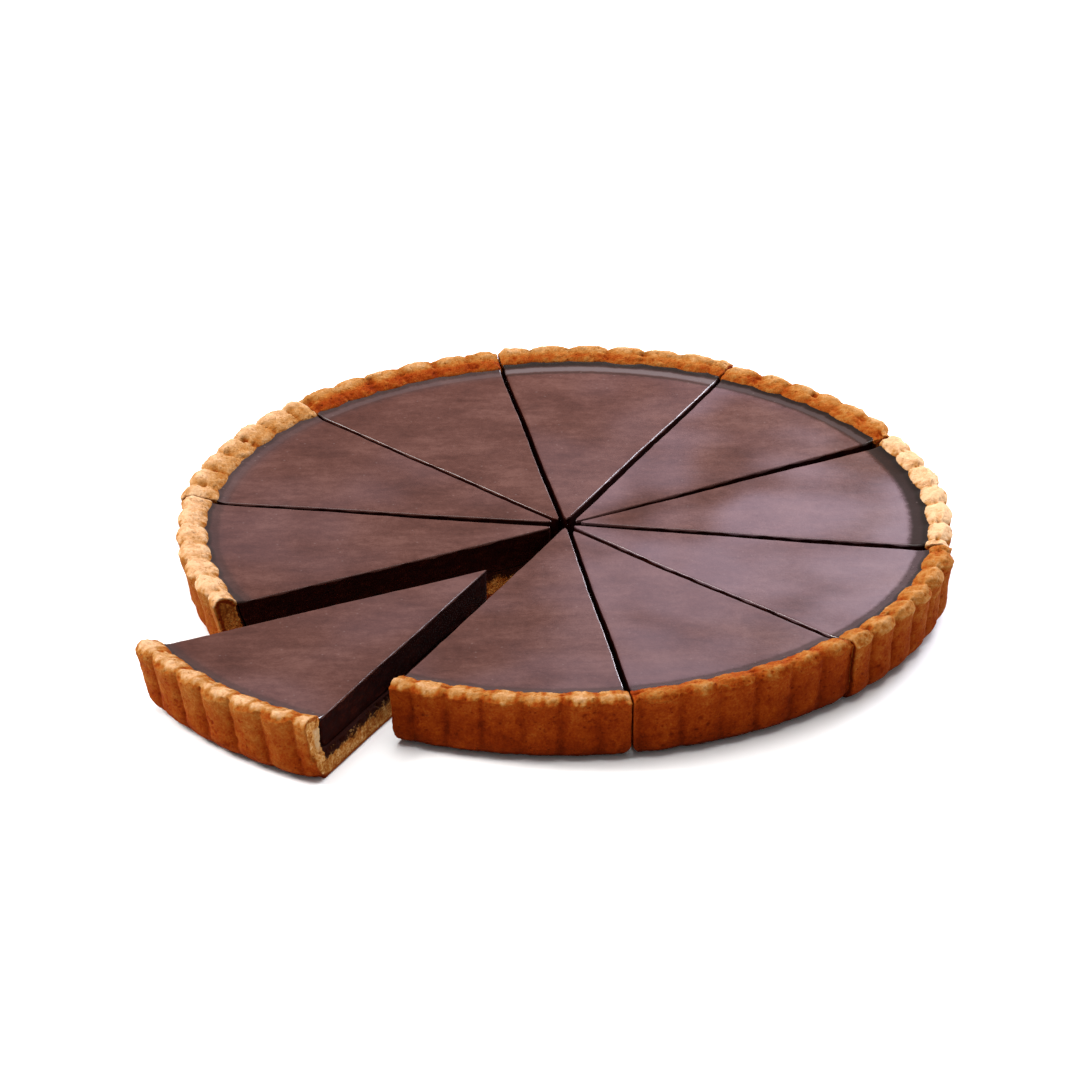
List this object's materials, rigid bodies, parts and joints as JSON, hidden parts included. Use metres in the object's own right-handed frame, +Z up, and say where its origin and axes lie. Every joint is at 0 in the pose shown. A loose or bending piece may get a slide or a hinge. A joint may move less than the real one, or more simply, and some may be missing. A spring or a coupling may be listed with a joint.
{
  "type": "chocolate tart",
  "caption": "Round chocolate tart in a fluted shortcrust case, cut into wedge portions, one of them drawn part of the way out.",
  "frame": {"origin": "centre of the bounding box of the whole, on the underside of the case", "axes": "+Z up; the drawn portion points to -X -Y, about 46 degrees from -Y towards -X"},
  "size_m": [0.2916, 0.301, 0.0268],
  "materials": {
    "pastry": "baked shortcrust, matte, golden brown with darker grooves and a paler rim",
    "chocolate": "set chocolate filling, satin on top, near black where cut"
  },
  "bodies": {
    "root": {"crust_01": "pastry", "crust_02": "pastry", "crust_03": "pastry", "crust_04": "pastry", "crust_05": "pastry", "crust_06": "pastry", "crust_07": "pastry", "crust_08": "pastry", "crust_09": "pastry", "crust_10": "pastry", "filling_01": "chocolate", "filling_02": "chocolate", "filling_03": "chocolate", "filling_04": "chocolate", "filling_05": "chocolate", "filling_06": "chocolate", "filling_07": "chocolate", "filling_08": "chocolate", "filling_09": "chocolate", "filling_10": "chocolate"}
  },
  "joints": []
}
